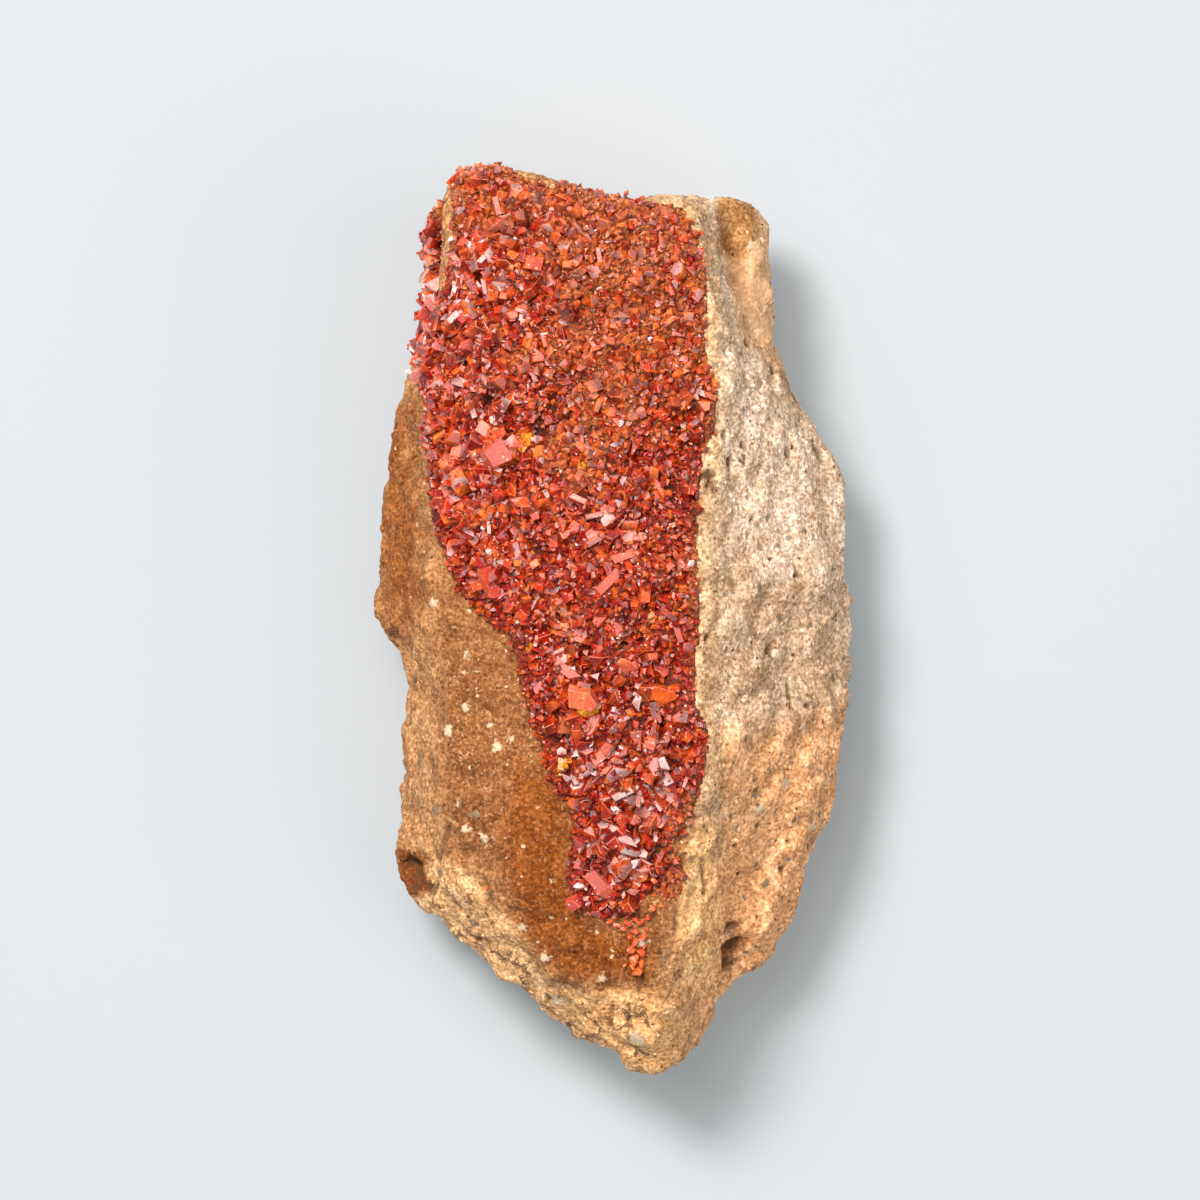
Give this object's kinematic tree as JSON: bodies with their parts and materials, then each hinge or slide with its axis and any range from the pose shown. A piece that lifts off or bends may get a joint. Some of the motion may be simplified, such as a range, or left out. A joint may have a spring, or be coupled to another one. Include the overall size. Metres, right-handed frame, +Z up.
{
  "type": "crocoite mineral specimen",
  "caption": "Red-orange crocoite druse covering one long face of a loose block of sandy, iron-stained rock that tapers to a point.",
  "frame": {"origin": "middle of the bottom of the whole specimen's box, on the surface it lies on", "axes": "+Z up out of the crystal face; +Y along the stone's length towards the broad broken end, the pointed end being at -Y; +X towards the bare sloping face"},
  "size_m": [0.0484, 0.0906, 0.0364],
  "materials": {
    "sandy_rock": "rough, granular",
    "crocoite_red": "bright, adamantine crystal faces"
  },
  "bodies": {
    "root": {"host_rock": "sandy_rock", "crocoite_crust": "crocoite_red"}
  },
  "joints": []
}
